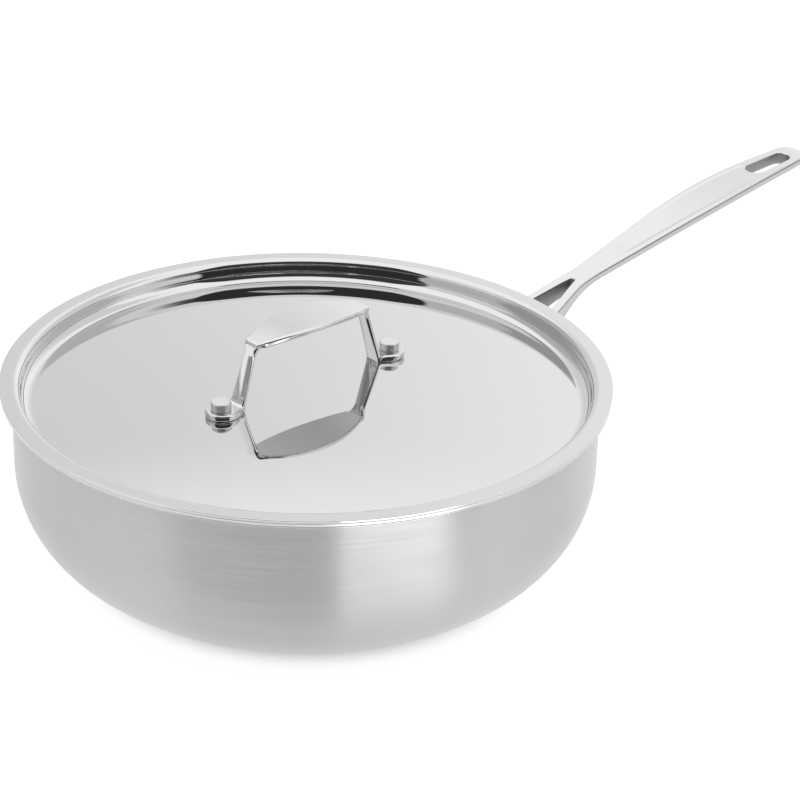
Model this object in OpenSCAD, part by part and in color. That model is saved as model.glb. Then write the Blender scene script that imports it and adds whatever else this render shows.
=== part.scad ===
// Saute pan with a lid. The origin is the centre of the base's underside.
// The pan's axis is Z and its long handle runs out along +X. Millimetres.

/* [Pan body] */
// Inside width between the upright walls
bore_d = 279.6; // [220:0.2:340]
// Height of the rim's top face above the base
pan_h = 94.1; // [84:0.1:130]
// Outer radius of the corner between base and wall
corner_r = 55; // [15:1:60]
// Thickness of the outer steel skin
skin_t = 0.5; // [0.3:0.1:1]
// Thickness of the aluminium core
core_t = 1.5; // [0.8:0.1:4]
// Thickness of the inner steel lining
lining_t = 0.5; // [0.3:0.1:1]
// How far the pouring lip reaches out from the wall
lip_w = 5.3; // [4:0.1:9]
// Radius under the lip, where it bends out of the wall
lip_bend_r = 0.5; // [0.3:0.1:1]

/* [Pan handle] */
// Length from the wall to the tip
handle_len = 219; // [190:1:280]
// Thickness of the long stretch at its edges
handle_t = 4.8; // [3.5:0.1:8]
// How much deeper the underside's middle rib reaches
rib_h = 2.4; // [0.5:0.1:4]
// How far the rib lies in from the handle's edges
rib_in = 2.5; // [2:0.1:3.2]
// Slope of the fork, near the pan
fork_slope = 20.2; // [12:0.1:28]
// Slope of the middle stretch
mid_slope = 13.3; // [6:0.1:17]
// Slope of the end stretch
end_slope = 4.6; // [0:0.1:12]
// Distance from the wall to the upper bend, where the fork's slope ends
knee_x = 38; // [34:0.5:60]
// Distance from the wall to the second bend
crest_x = 147.5; // [110:0.5:160]
// Height of the fork where it meets the pad
root_h = 17.4; // [10:0.1:18]
// Depth of the fork's middle under the rim's top face, at the wall
root_drop = 23.2; // [20:0.1:40]
// Half width of the fork at the wall
root_w = 15.9; // [12:0.1:22]
// Half width at the waist, where the edges' straight stretches would meet
waist_w = 6.3; // [3.5:0.1:8]
// Distance from the wall to the waist
waist_x = 44.5; // [36:0.5:50]
// Half width at the belly, where the edges' straight stretches would meet
belly_w = 14.5; // [10:0.1:17]
// Distance from the wall to the belly
belly_x = 148; // [110:1:160]
// Half width at the tip
tip_w = 8.9; // [7.6:0.1:11]
// Radius of the tip's two corners in plan
tip_r = 6.5; // [3:0.1:7]
// Slant of the fork opening's sides to the handle's centre line
opening_slant = 14.7; // [10:0.1:16]
// Distance from the wall to the point where the opening's sides would meet
opening_x = 46.3; // [38:0.1:48]
// Radius of the opening's narrow end
opening_r = 1.6; // [0.8:0.1:2.4]

/* [Hanging slot] */
// Length of the slot
slot_len = 31; // [20:0.5:40]
// Width of the slot's end near the pan
slot_in_w = 12.4; // [6:0.1:14]
// Width of the slot's end near the tip
slot_out_w = 11; // [6:0.1:12]
// Metal left between the slot and the tip
slot_margin = 9.6; // [6:0.1:16]

/* [Handle pad] */
// Thickness of the pad that follows the wall
pad_t = 3; // [2:0.1:5]
// Height of the pad
pad_h = 22.5; // [19:0.5:28]
// Angle about the pan's axis from the handle to each pan rivet
rivet_angle = 10; // [9:0.1:14]

/* [Pan rivets] */
// Diameter of a pan rivet's shank
rivet_d = 4; // [3:0.1:6]
// Diameter of its low head inside the pan
rivet_head_d = 11; // [9:0.1:15]
// Height of the head inside the pan
rivet_head_h = 2.2; // [1:0.1:3]
// Diameter of its closed end on the pad
rivet_tail_d = 8.5; // [8:0.1:12]
// Height of the closed end on the pad
rivet_tail_h = 1.8; // [1:0.1:3]

/* [Lid] */
// Thickness of the lid's sheet
lid_t = 1; // [0.6:0.1:2]
// How far the lid's flange reaches past the pan's lip
lid_overhang = 0.4; // [0:0.1:2]
// Gap all round between the lid's recess wall and the pan
lid_gap = 0.8; // [0.4:0.1:2]
// Radius of the shoulder between the flange and the recess wall
shoulder_r = 3.5; // [2.6:0.1:6]
// Radius where the recess wall meets the domed plate
valley_r = 5; // [2:0.1:6]
// Depth of the plate's edge under the flange's top face
recess_depth = 10.8; // [9:0.1:16]
// Rise of the domed plate from its edge to its middle
dome_rise = 5.7; // [2:0.1:8]

/* [Lid handle] */
// Distance from the lid's centre to each lid rivet
foot_x = 53.3; // [44:0.1:70]
// Radius of each round foot
foot_r = 8.5; // [7:0.1:11]
// Thickness of each foot at its rivet
foot_t = 3.3; // [2:0.1:5]
// Distance from the rivet to the strut's outer face, at the top of the foot
strut_in = 9; // [8:0.1:10]
// Half width of each strut
strut_w = 3.5; // [3:0.1:5]
// Thickness of each strut, along the handle
strut_t = 3; // [2:0.1:5]
// How far each strut leans in over its height
strut_lean = 9; // [4:0.1:14]
// Height of the grip's corners above the lid's plate at the rivets
grip_h = 32.9; // [26:0.1:50]
// Thickness of the grip
grip_t = 2.6; // [2:0.1:5]
// Half width at the grip's middle, where its edges' straight stretches would meet
grip_peak_w = 19; // [12:0.1:24]
// Half width of each neck at its strut's foot
neck_w = 4.7; // [3.8:0.1:6]
// Rise of the grip's two flanks to where they would meet at the middle
grip_rise = 6.6; // [1:0.1:8]

/* [Lid rivets] */
// Diameter of a lid rivet's shank
pin_d = 5; // [3:0.1:7]
// Diameter of its tall head on the foot
pin_head_d = 9.8; // [8:0.1:12]
// Height of the tall head
pin_head_h = 4.3; // [2:0.1:6]
// Diameter of its closed end under the lid
pin_tail_d = 9; // [8:0.1:11]
// Height of the closed end under the lid
pin_tail_h = 1.2; // [0.8:0.1:2]

/* [Hidden] */
$fn = 120;
// Spare length by which a cutting shape passes the face that it cuts
over = 2;
// Number of sides on the domed plate's wide circle, which shows only a short arc
dome_fn = 1440;
// Steps on each rounded corner of an outline
bend_steps = 8;
// Largest share of an edge that a rounded corner may take
bend_share = 0.88;
// Straight edge left on a rivet's low round head
head_edge = 0.6;
// Radius on the edge of a lid rivet's tall head
pin_edge_r = 1;

// Radii of the long handle's bends, seen from the side and from above
knee_r = 65;
heel_r = 100;
crest_r = 600;
waist_r = 70;
belly_r = 510;
tip_top_r = 1.5;
tip_low_r = 3;

// Radii of the lid handle's bends
foot_bend_r = 2.5;
grip_bend_r = 2.5;
grip_inner_r = 1.5;
grip_crown_r = 160;
grip_side_r = 76;
neck_r = 7;
// Where each neck touches its round foot, as an angle about the rivet
neck_angle = 55;
// How far each neck's edges run into its round foot
neck_sink = 0.3;

// Radii and heights of the pan's sheet
wall_t = skin_t + core_t + lining_t;
bore_r = bore_d / 2;
wall_r = bore_r + wall_t;
lip_r = wall_r + lip_w;

// Lid: radii from the pan's bore and lip, heights from the pan's rim
lid_top = pan_h + lid_t;
flange_r = lip_r + lid_overhang;
recess_r = bore_r - lid_gap - lid_t;
shoulder_z = lid_top - shoulder_r;
valley_x = recess_r - valley_r;
plate_z = lid_top - recess_depth;
dome_r = (pow(valley_x, 2) + pow(dome_rise, 2)) / (2 * dome_rise);
dome_z = plate_z + dome_rise - dome_r;
valley_z = dome_z + sqrt(pow(dome_r + valley_r, 2) - pow(valley_x, 2));

// Lid handle: heights from the plate at the rivets
foot_z = dome_at(foot_x, 0);
foot_top = foot_z + foot_t;
corner_z = foot_z + grip_h;
strut_x = foot_x - strut_in;
grip_x = strut_x - strut_lean;
heel_x = strut_x - strut_t;

// Pan handle: places from the pan's wall and rim
pad_r = wall_r + pad_t;
root_z = pan_h - root_drop;
top_z = root_z + root_h / 2;
low_z = root_z - root_h / 2;
knee_z = top_z + knee_x * tan(fork_slope);
crest_z = knee_z + (crest_x - knee_x) * tan(mid_slope);
end_z = crest_z + (handle_len - crest_x) * tan(end_slope);
// The underside's root stretch meets the handle's constant thickness a little past the knee
heel_slope = (knee_z - handle_t - low_z) / knee_x;
slot_out_x = wall_r + handle_len - slot_margin - slot_out_w / 2;
slot_in_x = wall_r + handle_len - slot_margin - slot_len + slot_in_w / 2;
fork_y = opening_x * tan(opening_slant);

// Height of the domed plate at radius r, at depth d in its sheet
function dome_at(r, d) = dome_z + sqrt(pow(dome_r - d, 2) - pow(r, 2));
// How far a strut has leaned in at height z
function lean(z) = strut_lean * (z - foot_top) / (corner_z - foot_top);
function unit(v) = v / norm(v);
function flat(p) = [p[0], p[1]];

// Arc that rounds the corner at b between its neighbours a and c, of radius b[2] where the edges have room
function bend(a, b, c) =
    let (p = flat(a) - flat(b), q = flat(c) - flat(b), u = unit(p), v = unit(q), half = acos(u * v) / 2,
         r = min(b[2], bend_share * min(norm(p), norm(q)) * tan(half)), turn = 180 - 2 * half,
         centre = flat(b) + unit(u + v) * r / sin(half),
         first = unit(flat(b) + u * r / tan(half) - centre),
         last = unit(flat(b) + v * r / tan(half) - centre))
    [for (i = [0:bend_steps])
        let (t = i / bend_steps)
        centre + r * (sin((1 - t) * turn) * first + sin(t * turn) * last) / sin(turn)];

// Whether the outline turns at b by enough to be rounded
function turns(a, b, c) = b[2] > 0 && unit(flat(b) - flat(a)) * unit(flat(c) - flat(b)) < cos(0.2);

// Closed outline from points [x, y, radius]; a radius of 0 is a sharp corner
function rounded(p) =
    [for (i = [0:len(p) - 1])
        let (a = p[(i + len(p) - 1) % len(p)], b = p[i], c = p[(i + 1) % len(p)])
        each turns(a, b, c) ? bend(a, b, c) : [flat(b)]];

// Outline points in the opposite order, and mirrored copies of them
function reversed(p) = [for (i = [len(p) - 1:-1:0]) p[i]];
function swapped_x(p) = [for (q = p) [-q[0], q[1], q[2]]];
function mirrored_x(p) = reversed(swapped_x(p));
function mirrored_y(p) = [for (q = reversed(p)) [q[0], -q[1], q[2]]];

// Half section of the pan filled up to the face at depth d in its sheet
module pan_fill(d) {
    translate([0, corner_r]) square([wall_r - d, pan_h - corner_r + over]);
    translate([0, d]) square([wall_r - corner_r, corner_r]);
    intersection() {
        translate([wall_r - corner_r, corner_r]) circle(r = corner_r - d);
        translate([wall_r - corner_r, d]) square([corner_r - d, corner_r - d]);
    }
    translate([0, pan_h - wall_t + d]) square([lip_r + over, wall_t - d + over]);
    difference() {
        translate([wall_r - d, pan_h - wall_t - lip_bend_r]) square([lip_bend_r + d, lip_bend_r + d]);
        translate([wall_r + lip_bend_r, pan_h - wall_t - lip_bend_r]) circle(r = lip_bend_r + d);
    }
}

// One layer of the clad sheet, between two depths, with the rivets' holes
module pan_layer(from, to) {
    difference() {
        rotate_extrude() intersection() {
            difference() {
                pan_fill(from);
                pan_fill(to);
            }
            square([lip_r, pan_h]);
        }
        pan_rivet_holes();
    }
}

// Places a child on each pan rivet's axis, whose local Z points out of the pan
module on_pan_rivet(side) {
    rotate([0, 0, side * rivet_angle]) translate([0, 0, root_z]) rotate([0, 90, 0]) children();
}

module pan_rivet_holes() {
    for (side = [-1, 1])
        on_pan_rivet(side) translate([0, 0, bore_r - over])
            cylinder(d = rivet_d, h = wall_t + pad_t + 2 * over);
}

// Half section of a low round head of width d and height h, standing on a short straight edge
module head_section(d, h, edge) {
    cap = h - edge;
    cap_r = (pow(d / 2, 2) + pow(cap, 2)) / (2 * cap);
    intersection() {
        translate([0, h - cap_r]) circle(r = cap_r);
        square([d / 2, h]);
    }
}

// Rivet whose head and closed end follow the curved wall and pad
module pan_rivet(side) {
    seat = over / 2;
    color("silver") {
        on_pan_rivet(side) translate([0, 0, bore_r - seat / 2])
            cylinder(d = rivet_d, h = wall_t + pad_t + seat);
        difference() {
            on_pan_rivet(side) {
                translate([0, 0, bore_r + seat]) mirror([0, 0, 1])
                    rotate_extrude() head_section(rivet_head_d, rivet_head_h + seat, seat + head_edge);
                translate([0, 0, pad_r - seat])
                    rotate_extrude() head_section(rivet_tail_d, rivet_tail_h + seat, seat + head_edge);
            }
            difference() {
                cylinder(r = pad_r, h = pan_h);
                translate([0, 0, -over]) cylinder(r = bore_r, h = pan_h + 2 * over);
            }
        }
    }
}

module outer_skin() {
    color("silver") pan_layer(0, skin_t);
}

module aluminium_core() {
    color("lightgray") pan_layer(skin_t, skin_t + core_t);
}

module inner_lining() {
    color("gainsboro") pan_layer(skin_t + core_t, wall_t);
}

// Outline of the long handle seen from above, moved in from its edges
module handle_plan(in) {
    edge = [[-over, root_w - in + over * (root_w - waist_w) / waist_x, 0], [waist_x, waist_w - in, waist_r],
            [belly_x, belly_w - in, belly_r], [handle_len - in, tip_w - in, tip_r - in]];
    translate([wall_r, 0]) polygon(rounded(concat(edge, mirrored_y(edge))));
}

// Outline of the long handle seen from its side, as [distance from the wall, height], with a deeper underside
module handle_side(drop) {
    translate([wall_r, 0]) polygon(rounded([
        [-over, low_z - drop - over * heel_slope, 0],
        [-over, top_z - over * tan(fork_slope), 0],
        [knee_x, knee_z, knee_r],
        [crest_x, crest_z, crest_r],
        [handle_len, end_z, tip_top_r],
        [handle_len, end_z - handle_t - drop, tip_low_r],
        [crest_x, crest_z - handle_t - drop, crest_r],
        [knee_x, knee_z - handle_t - drop, heel_r]]));
}

// Bar of the handle, from an outline that lies in from its edges, with its underside lower by a drop
module handle_bar(in, drop) {
    intersection() {
        linear_extrude(end_z + over) handle_plan(in);
        rotate([90, 0, 0]) translate([0, 0, -root_w - over]) linear_extrude(2 * (root_w + over)) handle_side(drop);
    }
}

// Three-sided opening between the fork's two prongs
module fork_opening() {
    translate([wall_r, 0]) polygon(rounded([
        [0, fork_y, 0], [opening_x, 0, opening_r], [0, -fork_y, 0]]));
}

module hanging_slot() {
    translate([slot_in_x, 0]) circle(d = slot_in_w);
    translate([slot_out_x, 0]) circle(d = slot_out_w);
    polygon([[slot_in_x, -slot_in_w / 2], [slot_out_x, -slot_out_w / 2],
             [slot_out_x, slot_out_w / 2], [slot_in_x, slot_in_w / 2]]);
}

// Plate that follows the wall, with a round ear at each rivet
module handle_pad() {
    ear_y = (wall_r + pad_t / 2) * sin(rivet_angle);
    intersection() {
        difference() {
            cylinder(r = pad_r, h = pan_h);
            translate([0, 0, -over]) cylinder(r = wall_r, h = pan_h + 2 * over);
        }
        translate([0, 0, root_z]) rotate([90, 0, 90]) linear_extrude(pad_r + over) {
            square([2 * ear_y, pad_h], center = true);
            for (side = [-1, 1]) translate([side * ear_y, 0]) circle(d = pad_h);
        }
    }
}

module pan_handle() {
    color("gainsboro") difference() {
        union() {
            difference() {
                union() {
                    handle_bar(0, 0);
                    handle_bar(rib_in, rib_h);
                }
                linear_extrude(end_z + over) fork_opening();
                linear_extrude(end_z + over) hanging_slot();
                cylinder(r = wall_r, h = end_z);
            }
            handle_pad();
        }
        pan_rivet_holes();
    }
}

// Half section of the space above the face at depth d in the lid's sheet, up to a height
module lid_space(d, top) {
    reach = dome_r - d;
    span = dome_r + valley_r;
    touch = [valley_x * reach / span, dome_z + (valley_z - dome_z) * reach / span];
    difference() {
        union() {
            translate([0, plate_z - recess_depth]) square([recess_r + d, top - plate_z + recess_depth]);
            translate([0, lid_top - d]) square([flange_r + over, top - lid_top + d]);
            difference() {
                translate([recess_r + d, shoulder_z]) square([shoulder_r - d, shoulder_r - d]);
                translate([recess_r + shoulder_r, shoulder_z]) circle(r = shoulder_r - d);
            }
        }
        translate([0, dome_z]) circle(r = reach, $fn = dome_fn);
        difference() {
            polygon([[valley_x, valley_z], touch, [recess_r + d, touch[1] - over], [recess_r + d, valley_z]]);
            translate([valley_x, valley_z]) circle(r = valley_r + d);
        }
    }
}

module lid_pin_holes() {
    for (side = [-1, 1])
        translate([side * foot_x, 0, plate_z]) cylinder(d = pin_d, h = foot_top - plate_z + over);
}

module lid() {
    color("lightgray") difference() {
        rotate_extrude() intersection() {
            difference() {
                lid_space(lid_t, lid_top + over);
                lid_space(0, lid_top + 2 * over);
            }
            square([flange_r, lid_top]);
        }
        lid_pin_holes();
    }
}

// Outline of the lid handle seen from its side; its feet run on down into the lid
module strap_side() {
    end_x = foot_x + foot_r + over;
    outer = [[end_x, foot_top, 0], [strut_x, foot_top, foot_bend_r], [grip_x, corner_z, grip_bend_r]];
    inner = [[end_x, plate_z, 0], [heel_x - lean(plate_z), plate_z, 0],
             [heel_x - lean(corner_z - grip_t), corner_z - grip_t, grip_inner_r]];
    polygon(rounded(concat(
        outer, [[0, corner_z + grip_rise, grip_crown_r]], mirrored_x(outer),
        swapped_x(inner), [[0, corner_z - grip_t + grip_rise, grip_crown_r]], reversed(inner))));
}

// Outline of the lid handle seen from above, without its round feet: a leaf-shaped grip and narrow necks
module strap_plan() {
    touch = (foot_r - neck_sink) * [-cos(neck_angle), sin(neck_angle)];
    side = [[grip_x, strut_w, neck_r], [strut_x, neck_w, neck_r],
            [foot_x + touch[0], touch[1], 0], [foot_x, touch[1], 0]];
    upper = concat(mirrored_x(side), [[0, grip_peak_w, grip_side_r]], side);
    polygon(rounded(concat(upper, mirrored_y(upper))));
}

// Solid under the cone through two points [radius, height], about the lid's axis
module under_cone(p, q) {
    slope = (q[1] - p[1]) / (q[0] - p[0]);
    rotate_extrude() polygon([[0, plate_z - recess_depth], [valley_x, plate_z - recess_depth],
                              [valley_x, p[1] + slope * (valley_x - p[0])], [0, p[1] - slope * p[0]]]);
}

module lid_handle() {
    color("gainsboro") difference() {
        intersection() {
            rotate([90, 0, 0]) translate([0, 0, -grip_peak_w]) linear_extrude(2 * grip_peak_w) strap_side();
            union() {
                linear_extrude(corner_z + grip_rise) strap_plan();
                for (end = [-1, 1]) translate([end * foot_x, 0, plate_z]) cylinder(r = foot_r, h = foot_t + dome_rise);
            }
        }
        under_cone([foot_x, foot_z], [foot_x + foot_r, foot_z - foot_r * foot_x / (foot_z - dome_z)]);
        lid_pin_holes();
    }
}

// Rivet with a tall flat head on the foot and a low end that follows the sheet's underside
module lid_pin(side) {
    seat = over / 2;
    head_r = pin_head_d / 2;
    under_z = foot_z - lid_t;
    near_x = foot_x - pin_tail_d / 2;
    far_x = foot_x + pin_tail_d / 2;
    color("whitesmoke") {
        translate([side * foot_x, 0, 0]) {
            translate([0, 0, foot_top]) rotate_extrude() {
                square([head_r - pin_edge_r, pin_head_h]);
                square([head_r, pin_head_h - pin_edge_r]);
                translate([head_r - pin_edge_r, pin_head_h - pin_edge_r]) intersection() {
                    circle(r = pin_edge_r);
                    square(pin_edge_r);
                }
            }
            translate([0, 0, under_z - seat / 2]) cylinder(d = pin_d, h = foot_top - under_z + seat);
        }
        intersection() {
            translate([side * foot_x, 0, under_z + seat]) mirror([0, 0, 1])
                rotate_extrude() head_section(pin_tail_d, pin_tail_h + seat, seat + head_edge);
            under_cone([near_x, dome_at(near_x, lid_t)], [far_x, dome_at(far_x, lid_t)]);
        }
    }
}

outer_skin();
aluminium_core();
inner_lining();
pan_handle();
pan_rivet(1);  // pan_rivet_left
pan_rivet(-1);  // pan_rivet_right
lid();
lid_handle();
lid_pin(-1);  // lid_rivet_left
lid_pin(1);  // lid_rivet_right
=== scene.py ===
"""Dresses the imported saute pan: turned sheet, cast handles, rivets, steel finishes, studio and camera."""
import logging
import math
from bisect import bisect_right
from dataclasses import dataclass, field
from enum import Enum
from typing import Callable, Sequence

import bmesh
import bpy
from mathutils import Matrix, Vector
from mathutils.geometry import delaunay_2d_cdt


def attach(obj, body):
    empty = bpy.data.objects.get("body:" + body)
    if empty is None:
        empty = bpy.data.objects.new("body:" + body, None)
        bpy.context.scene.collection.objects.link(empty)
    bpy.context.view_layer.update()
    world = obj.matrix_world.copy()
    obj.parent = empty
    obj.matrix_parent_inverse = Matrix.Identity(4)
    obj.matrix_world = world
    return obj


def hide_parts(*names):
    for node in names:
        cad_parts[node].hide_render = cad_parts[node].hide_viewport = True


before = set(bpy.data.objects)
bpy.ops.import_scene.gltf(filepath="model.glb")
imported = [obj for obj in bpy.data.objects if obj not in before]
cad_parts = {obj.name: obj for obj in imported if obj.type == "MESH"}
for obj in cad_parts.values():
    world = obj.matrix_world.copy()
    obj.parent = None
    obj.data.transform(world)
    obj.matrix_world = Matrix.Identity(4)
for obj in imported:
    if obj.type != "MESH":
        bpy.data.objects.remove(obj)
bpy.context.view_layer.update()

MM = 0.001
# A quarter turn of the shader's smear, from along a ground line to across it
SMEARED_ACROSS = 0.25
# Spacing of the streaks of a belt's slightly uneven passes
STREAK_PITCH = 0.0016
# Width of wiping marks, in metres, and how much they change a finish's roughness either way
WIPE_SIZE = 0.06
WIPE_HAZE = 0.02
# The middle of a noise's values, which is spread over a finish's own range
NOISE_LOW = 0.3
NOISE_HIGH = 0.7
# Points closer than this are one, in a mesh's metres or an outline's millimetres
SAME_POINT = 1e-6
# Fewest chords in an arc, and the half angle past which a corner counts as straight
FEWEST_CHORDS = 6
STRAIGHT = math.radians(89.9)
log = logging.getLogger("saute_pan")

Point2 = tuple[float, float]
Point3 = tuple[float, float, float]
Shell = tuple[list[Point3], list[tuple[int, ...]]]
Surface = Callable[[float, float], float]
Tree = bpy.types.NodeTree
Node = bpy.types.Node
Socket = bpy.types.NodeSocket
Material = bpy.types.Material
Mesh = bpy.types.Mesh
Piece = bpy.types.Object


class Body(Enum):
    """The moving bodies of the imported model."""

    PAN = "pan"
    LID = "lid"


class Grain(Enum):
    """Which way a finish's fine lines run."""

    ROUND_AXIS = "round the pan's axis"
    ALONG_HANDLE = "along the handle"
    NONE = "no direction"


def linear(colour: str) -> tuple[float, float, float, float]:
    """Turns an sRGB hex colour into Blender's linear RGBA.

    Args:
        colour: Six hex digits after a number sign.

    Returns:
        The linear red, green, blue and an alpha of one.
    """
    parts = [int(colour[i:i + 2], 16) / 255 for i in (1, 3, 5)]
    r, g, b = (c / 12.92 if c <= 0.04045 else ((c + 0.055) / 1.055) ** 2.4 for c in parts)
    return (r, g, b, 1.0)


def add_node(tree: Tree, kind: str, links: dict | None = None, **settings: object) -> Node:
    """Adds one node with its settings, input values and links.

    Args:
        tree: The shader or geometry tree.
        kind: The node's Blender type name.
        links: Input name or number, to an output socket or to a plain value.
        settings: Properties to set on the node itself.

    Returns:
        The new node.
    """
    node = tree.nodes.new(kind)
    for name, value in settings.items():
        setattr(node, name, value)
    for key, value in (links or {}).items():
        socket = node.inputs[key]
        if isinstance(value, Socket):
            tree.links.new(value, socket)
        else:
            socket.default_value = value
    return node


def worked_out(tree: Tree, operation: str, *values: Socket | float) -> Socket:
    """Adds a Math node.

    Args:
        tree: The shader or geometry tree.
        operation: What the node does with the values.
        values: Its inputs in order.

    Returns:
        The result.
    """
    return add_node(tree, "ShaderNodeMath", dict(enumerate(values)), operation=operation).outputs[0]


def new_finish(name: str) -> tuple[Material, Tree, Node]:
    """Makes a material with a Principled shader.

    Args:
        name: The material's name.

    Returns:
        The material, its node tree and the shader node.
    """
    material = bpy.data.materials.new(name)
    material.use_nodes = True
    tree = material.node_tree
    tree.nodes.clear()
    shader = add_node(tree, "ShaderNodeBsdfPrincipled")
    add_node(tree, "ShaderNodeOutputMaterial", {"Surface": shader.outputs[0]})
    return material, tree, shader


def drag_marks(tree: Tree, grain: Grain, pitch: float, length: float) -> Socket:
    """Adds fine lines left by an abrasive belt.

    Args:
        tree: The material's tree.
        grain: Which way the lines run.
        pitch: Spacing across the lines, in metres.
        length: Length of a line, in metres.

    Returns:
        A value from 0 to 1 that changes quickly across the lines and slowly along them.
    """
    coords = add_node(tree, "ShaderNodeTexCoord").outputs["Object"]
    if grain is Grain.ROUND_AXIS:
        split = add_node(tree, "ShaderNodeSeparateXYZ", {0: coords})
        flat = add_node(tree, "ShaderNodeCombineXYZ", {0: split.outputs[0], 1: split.outputs[1], 2: 0.0})
        radius = add_node(tree, "ShaderNodeVectorMath", {0: flat.outputs[0]}, operation="LENGTH")
        across = worked_out(tree, "SUBTRACT", split.outputs[2], radius.outputs["Value"])
        coords = add_node(tree, "ShaderNodeCombineXYZ",
                          {0: split.outputs[0], 1: split.outputs[1], 2: across}).outputs[0]
        scale = (1 / length, 1 / length, 1 / pitch)
    elif grain is Grain.ALONG_HANDLE:
        scale = (1 / length, 1 / pitch, 1 / pitch)
    else:
        scale = (1 / length, 1 / length, 1 / length)
    mapping = add_node(tree, "ShaderNodeMapping", {"Vector": coords, "Scale": scale})
    noise = add_node(tree, "ShaderNodeTexNoise",
                     {"Vector": mapping.outputs[0], "Scale": 1.0, "Detail": 3.0, "Roughness": 0.65})
    return noise.outputs["Fac"]


def wiping_marks(tree: Tree) -> Socket:
    """Adds the soft patches of wiping.

    Args:
        tree: The material's tree.

    Returns:
        A value around one half.
    """
    coords = add_node(tree, "ShaderNodeTexCoord").outputs["Object"]
    noise = add_node(tree, "ShaderNodeTexNoise",
                     {"Vector": coords, "Scale": 1 / WIPE_SIZE, "Detail": 2.0, "Roughness": 0.5})
    return noise.outputs["Fac"]


def spread(tree: Tree, value: Socket, low: float, high: float) -> Socket:
    """Maps the middle of a noise onto a range.

    Args:
        tree: The material's tree.
        value: The noise.
        low: Result at the low end of the noise's middle.
        high: Result at its high end.

    Returns:
        The mapped value.
    """
    sizes = {"From Min": NOISE_LOW, "From Max": NOISE_HIGH, "To Min": low, "To Max": high}
    return add_node(tree, "ShaderNodeMapRange", {"Value": value, **sizes}).outputs[0]


@dataclass(frozen=True)
class SteelFinish:
    """Stainless steel, worked in one of its usual ways.

    A metal's eye-catching part is what it mirrors: a fine-ground sheet smears it across the lines, a buffed
    one keeps it sharp with a faint haze, and a tumbled rivet blurs it evenly. The lines' pitch, length and
    relief are in metres.
    """

    name: str
    colour_dark: str
    colour_light: str
    roughness: tuple[float, float]
    grain: Grain
    pitch: float
    length: float
    relief: float
    anisotropy: float = 0.0
    waver: float = 0.0

    def make(self) -> Material:
        """Builds the material.

        Returns:
            The finished material.
        """
        material, tree, shader = new_finish(self.name)
        lines = drag_marks(tree, self.grain, self.pitch, self.length)
        haze = spread(tree, wiping_marks(tree), -WIPE_HAZE, WIPE_HAZE)
        blurred = worked_out(tree, "ADD", haze, spread(tree, lines, *self.roughness))
        colours = {6: linear(self.colour_dark), 7: linear(self.colour_light)}
        share = spread(tree, lines, 0.0, 1.0)
        tone = add_node(tree, "ShaderNodeMix", {0: share, **colours}, data_type="RGBA")
        bump = add_node(tree, "ShaderNodeBump", {"Height": lines, "Strength": 1.0, "Distance": self.relief})
        tree.links.new(tone.outputs[2], shader.inputs["Base Color"])
        tree.links.new(blurred, shader.inputs["Roughness"])
        tree.links.new(bump.outputs[0], shader.inputs["Normal"])
        shader.inputs["Metallic"].default_value = 1.0
        shader.inputs["Anisotropic"].default_value = self.anisotropy
        if self.anisotropy:
            shader.inputs["Anisotropic Rotation"].default_value = SMEARED_ACROSS
            level = add_node(tree, "ShaderNodeTangent", direction_type="RADIAL", axis="Z")
            streaks = drag_marks(tree, self.grain, STREAK_PITCH, self.length)
            rise = add_node(tree, "ShaderNodeCombineXYZ",
                            {0: 0.0, 1: 0.0, 2: spread(tree, streaks, -self.waver, self.waver)})
            tangent = add_node(tree, "ShaderNodeVectorMath", {0: level.outputs[0], 1: rise.outputs[0]},
                               operation="ADD")
            tree.links.new(tangent.outputs[0], shader.inputs["Tangent"])
        return material


# Stainless sheet ground round the body with a fine belt: a satin face that smears what it mirrors up and
# down, with level hairlines; the real lines are 0.05 to 0.1 mm apart and are drawn coarser so that they show
GROUND_SHEET = SteelFinish("stainless sheet, ground round the body", "#c9c9c9", "#cdcdcd", (0.37, 0.43),
                           Grain.ROUND_AXIS, 0.0011, 0.07, 0.0000022, anisotropy=0.97, waver=0.05)
# The same sheet inside the pan, ground finer
GROUND_LINING = SteelFinish("stainless lining, ground fine", "#cecece", "#d3d3d3", (0.2, 0.26),
                            Grain.ROUND_AXIS, 0.0009, 0.05, 0.0000012, anisotropy=0.8, waver=0.03)
# Buffed sheet: a true mirror with a faint haze from handling
BUFFED_SHEET = SteelFinish("stainless sheet, buffed to a mirror", "#d4d4d4", "#d5d5d5", (0.025, 0.035),
                           Grain.ROUND_AXIS, 0.0012, 0.06, 0.00000005)
# The pouring lip, which is polished on a wheel after the wall is ground
POLISHED_LIP = SteelFinish("stainless lip, wheel polished", "#d2d2d2", "#d6d6d6", (0.08, 0.14),
                           Grain.ROUND_AXIS, 0.0012, 0.05, 0.0000004)
# Lost-wax cast steel, polished by hand along its length
POLISHED_CASTING = SteelFinish("cast stainless, hand polished", "#d5d5d5", "#d8d8d8", (0.03, 0.06),
                               Grain.ALONG_HANDLE, 0.0012, 0.03, 0.00000025)
# The strap's narrow edges, eased by hand: a softer shine than the faces, so that they show as light lines
EASED_EDGE = SteelFinish("cast stainless, eased edges", "#d8d8d8", "#dcdcdc", (0.14, 0.2),
                         Grain.ALONG_HANDLE, 0.0012, 0.03, 0.00000025)
# The bar's flanks, ground flat on a belt and left satin
GROUND_FLANK = SteelFinish("cast stainless, belt ground", "#bcbcbc", "#c2c2c2", (0.3, 0.38),
                           Grain.ALONG_HANDLE, 0.0011, 0.03, 0.0000015)
# Places that no belt reaches, the groove, the fork's opening and the slot, keep the rough skin of blasting;
# their grey is darker than the rest and paints shade into these recesses
BLASTED_SHADED_CASTING = SteelFinish("cast stainless, blasted, with painted shade", "#989898", "#a4a4a4", (0.45, 0.55),
                              Grain.NONE, 0.0008, 0.001, 0.000008)
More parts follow.
